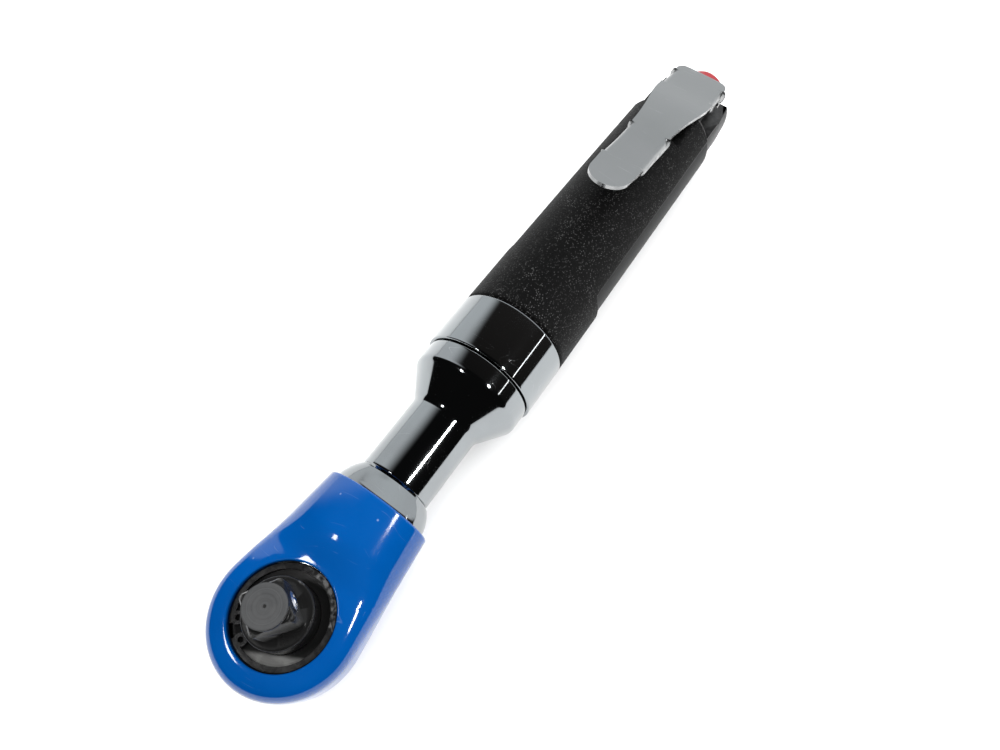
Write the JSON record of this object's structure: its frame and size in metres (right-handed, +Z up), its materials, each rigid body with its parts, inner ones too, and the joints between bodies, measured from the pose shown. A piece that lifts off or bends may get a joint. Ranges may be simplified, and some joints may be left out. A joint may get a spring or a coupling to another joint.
{
  "type": "air ratchet",
  "caption": "Pneumatic ratchet wrench with a square drive, chrome head and nut, blue protective boot, black rubber grip and a throttle lever.",
  "frame": {"origin": "centre of the bottom of the box that holds the tool, lying on its underside", "axes": "+X along the handle from the drive to the air inlet, +Z up the square drive, which faces away from the surface the tool lies on"},
  "size_m": [0.236, 0.036, 0.0444],
  "materials": {
    "blue_boot": "glossy moulded vinyl",
    "chrome": "mirror polished chrome plate",
    "black_oxide": "black oxide, oiled",
    "grip_rubber": "moulded with a fine grain",
    "black_housing": "satin black",
    "lever_steel": "stamped, satin plated",
    "plug_red": "semi-gloss moulded",
    "steel": "machined",
    "ball_steel": "polished",
    "spring_steel": "drawn wire",
    "brass": "machined brass",
    "cast_iron": "ground",
    "vane_composite": "fibre laminate",
    "seal_rubber": "smooth"
  },
  "bodies": {
    "tool_body": {"protective_boot": "blue_boot", "ratchet_housing": "chrome", "clamp_nut": "chrome", "motor_housing": "black_housing", "grip_sleeve": "grip_rubber", "cylinder": "cast_iron", "cylinder_dowel": "steel", "front_end_plate": "cast_iron", "rear_end_plate": "cast_iron", "front_bearing": "steel", "rear_bearing": "steel", "ring_gear": "steel", "gear_washer": "steel", "crank_bearing": "steel", "retaining_ring": "black_oxide", "thrust_washer": "black_oxide", "friction_washer": "spring_steel", "lever_pin": "steel", "stem_bushing": "brass", "stem_seal": "seal_rubber", "valve_seat": "brass", "valve_spring": "spring_steel", "valve_plug": "steel", "plug_seal": "seal_rubber", "inlet_bushing": "steel", "inlet_screen": "brass"},
    "throttle_lever": {"throttle_lever": "lever_steel"},
    "valve_stem": {"valve_stem": "steel", "valve_ball": "ball_steel"},
    "rotor": {"rotor": "steel", "vane_1": "vane_composite", "vane_2": "vane_composite", "vane_3": "vane_composite", "vane_4": "vane_composite", "vane_5": "vane_composite"},
    "crankshaft": {"crankshaft": "steel", "planet_pin_1": "steel", "planet_pin_2": "steel", "planet_pin_3": "steel"},
    "planet_1": {"planet_gear_1": "steel"},
    "planet_2": {"planet_gear_2": "steel"},
    "planet_3": {"planet_gear_3": "steel"},
    "drive_bushing": {"drive_bushing": "steel"},
    "yoke": {"yoke": "steel"},
    "anvil": {"anvil": "black_oxide", "pawl_pin": "steel", "detent_spring": "spring_steel"},
    "detent_ball": {"detent_ball": "ball_steel"},
    "pawl": {"pawl": "steel"},
    "reverse_knob": {"reverse_knob": "black_oxide", "pawl_plunger": "steel", "plunger_spring": "spring_steel"},
    "inlet_plug": {"inlet_plug": "plug_red"}
  },
  "joints": [
    {"name": "lever_press", "type": "hinge", "parent": "tool_body", "child": "throttle_lever", "pos_m": [0.1015, 0, 0.02655], "axis": [0, -1, 0], "range_deg": [0, 4.5], "stiffness_Nm_per_rad": 2, "springref_deg": -11.46},
    {"name": "valve_open", "type": "slide", "parent": "tool_body", "child": "valve_stem", "axis": [0, 0, -1], "range_m": [0, 0.00138], "deforming": ["valve_spring"]},
    {"name": "rotor_spin", "type": "hinge", "parent": "tool_body", "child": "rotor", "pos_m": [0, 0, 0.01675], "axis": [1, 0, 0], "continuous": true},
    {"name": "crank_spin", "type": "hinge", "parent": "tool_body", "child": "crankshaft", "pos_m": [-0.04, 0, 0.01675], "axis": [1, 0, 0], "continuous": true},
    {"name": "bushing_spin", "type": "hinge", "parent": "crankshaft", "child": "drive_bushing", "pos_m": [-0.0785, 0.0012, 0.01675], "axis": [1, 0, 0], "continuous": true},
    {"name": "yoke_rock", "type": "hinge", "parent": "tool_body", "child": "yoke", "pos_m": [-0.1, 0, 0.01675], "axis": [0, 0, 1], "range_deg": [-3.3, 3.3]},
    {"name": "anvil_spin", "type": "hinge", "parent": "tool_body", "child": "anvil", "pos_m": [-0.1, 0, 0.01675], "axis": [0, 0, 1], "continuous": true},
    {"name": "knob_turn", "type": "hinge", "parent": "anvil", "child": "reverse_knob", "pos_m": [-0.1, 0, 0.01675], "axis": [0, 0, 1], "range_deg": [-25, 25]},
    {"name": "pawl_rock", "type": "hinge", "parent": "anvil", "child": "pawl", "pos_m": [-0.10115, 0.0065, 0.01675], "axis": [0, 0, 1], "range_deg": [-4, 4]},
    {"name": "detent_press", "type": "slide", "parent": "anvil", "child": "detent_ball", "axis": [-0.848, 0.5299, 0], "range_m": [0, 0.0005], "stiffness_N_per_m": 600, "springref_m": -0.001},
    {"name": "plug_pull", "type": "slide", "parent": "tool_body", "child": "inlet_plug", "axis": [1, 0, 0], "range_m": [0, 0.02]},
    {"name": "planet_1_spin", "type": "hinge", "parent": "crankshaft", "child": "planet_1", "pos_m": [-0.0244, 0.00743, 0.01675], "axis": [1, 0, 0], "continuous": true},
    {"name": "planet_2_spin", "type": "hinge", "parent": "crankshaft", "child": "planet_2", "pos_m": [-0.0244, -0.00371, 0.02318], "axis": [1, 0, 0], "continuous": true},
    {"name": "planet_3_spin", "type": "hinge", "parent": "crankshaft", "child": "planet_3", "pos_m": [-0.0244, -0.00371, 0.01032], "axis": [1, 0, 0], "continuous": true}
  ],
  "couplings": [
    {"joint": "valve_open", "follows": "lever_press", "m_per_rad": 0.0175},
    {"joint": "crank_spin", "follows": "rotor_spin", "ratio": 0.22222},
    {"joint": "bushing_spin", "follows": "rotor_spin", "ratio": -0.22222},
    {"joint": "pawl_rock", "follows": "knob_turn", "ratio": -0.16},
    {"joint": "planet_1_spin", "follows": "rotor_spin", "ratio": -0.62222},
    {"joint": "planet_2_spin", "follows": "rotor_spin", "ratio": -0.62222},
    {"joint": "planet_3_spin", "follows": "rotor_spin", "ratio": -0.62222}
  ]
}
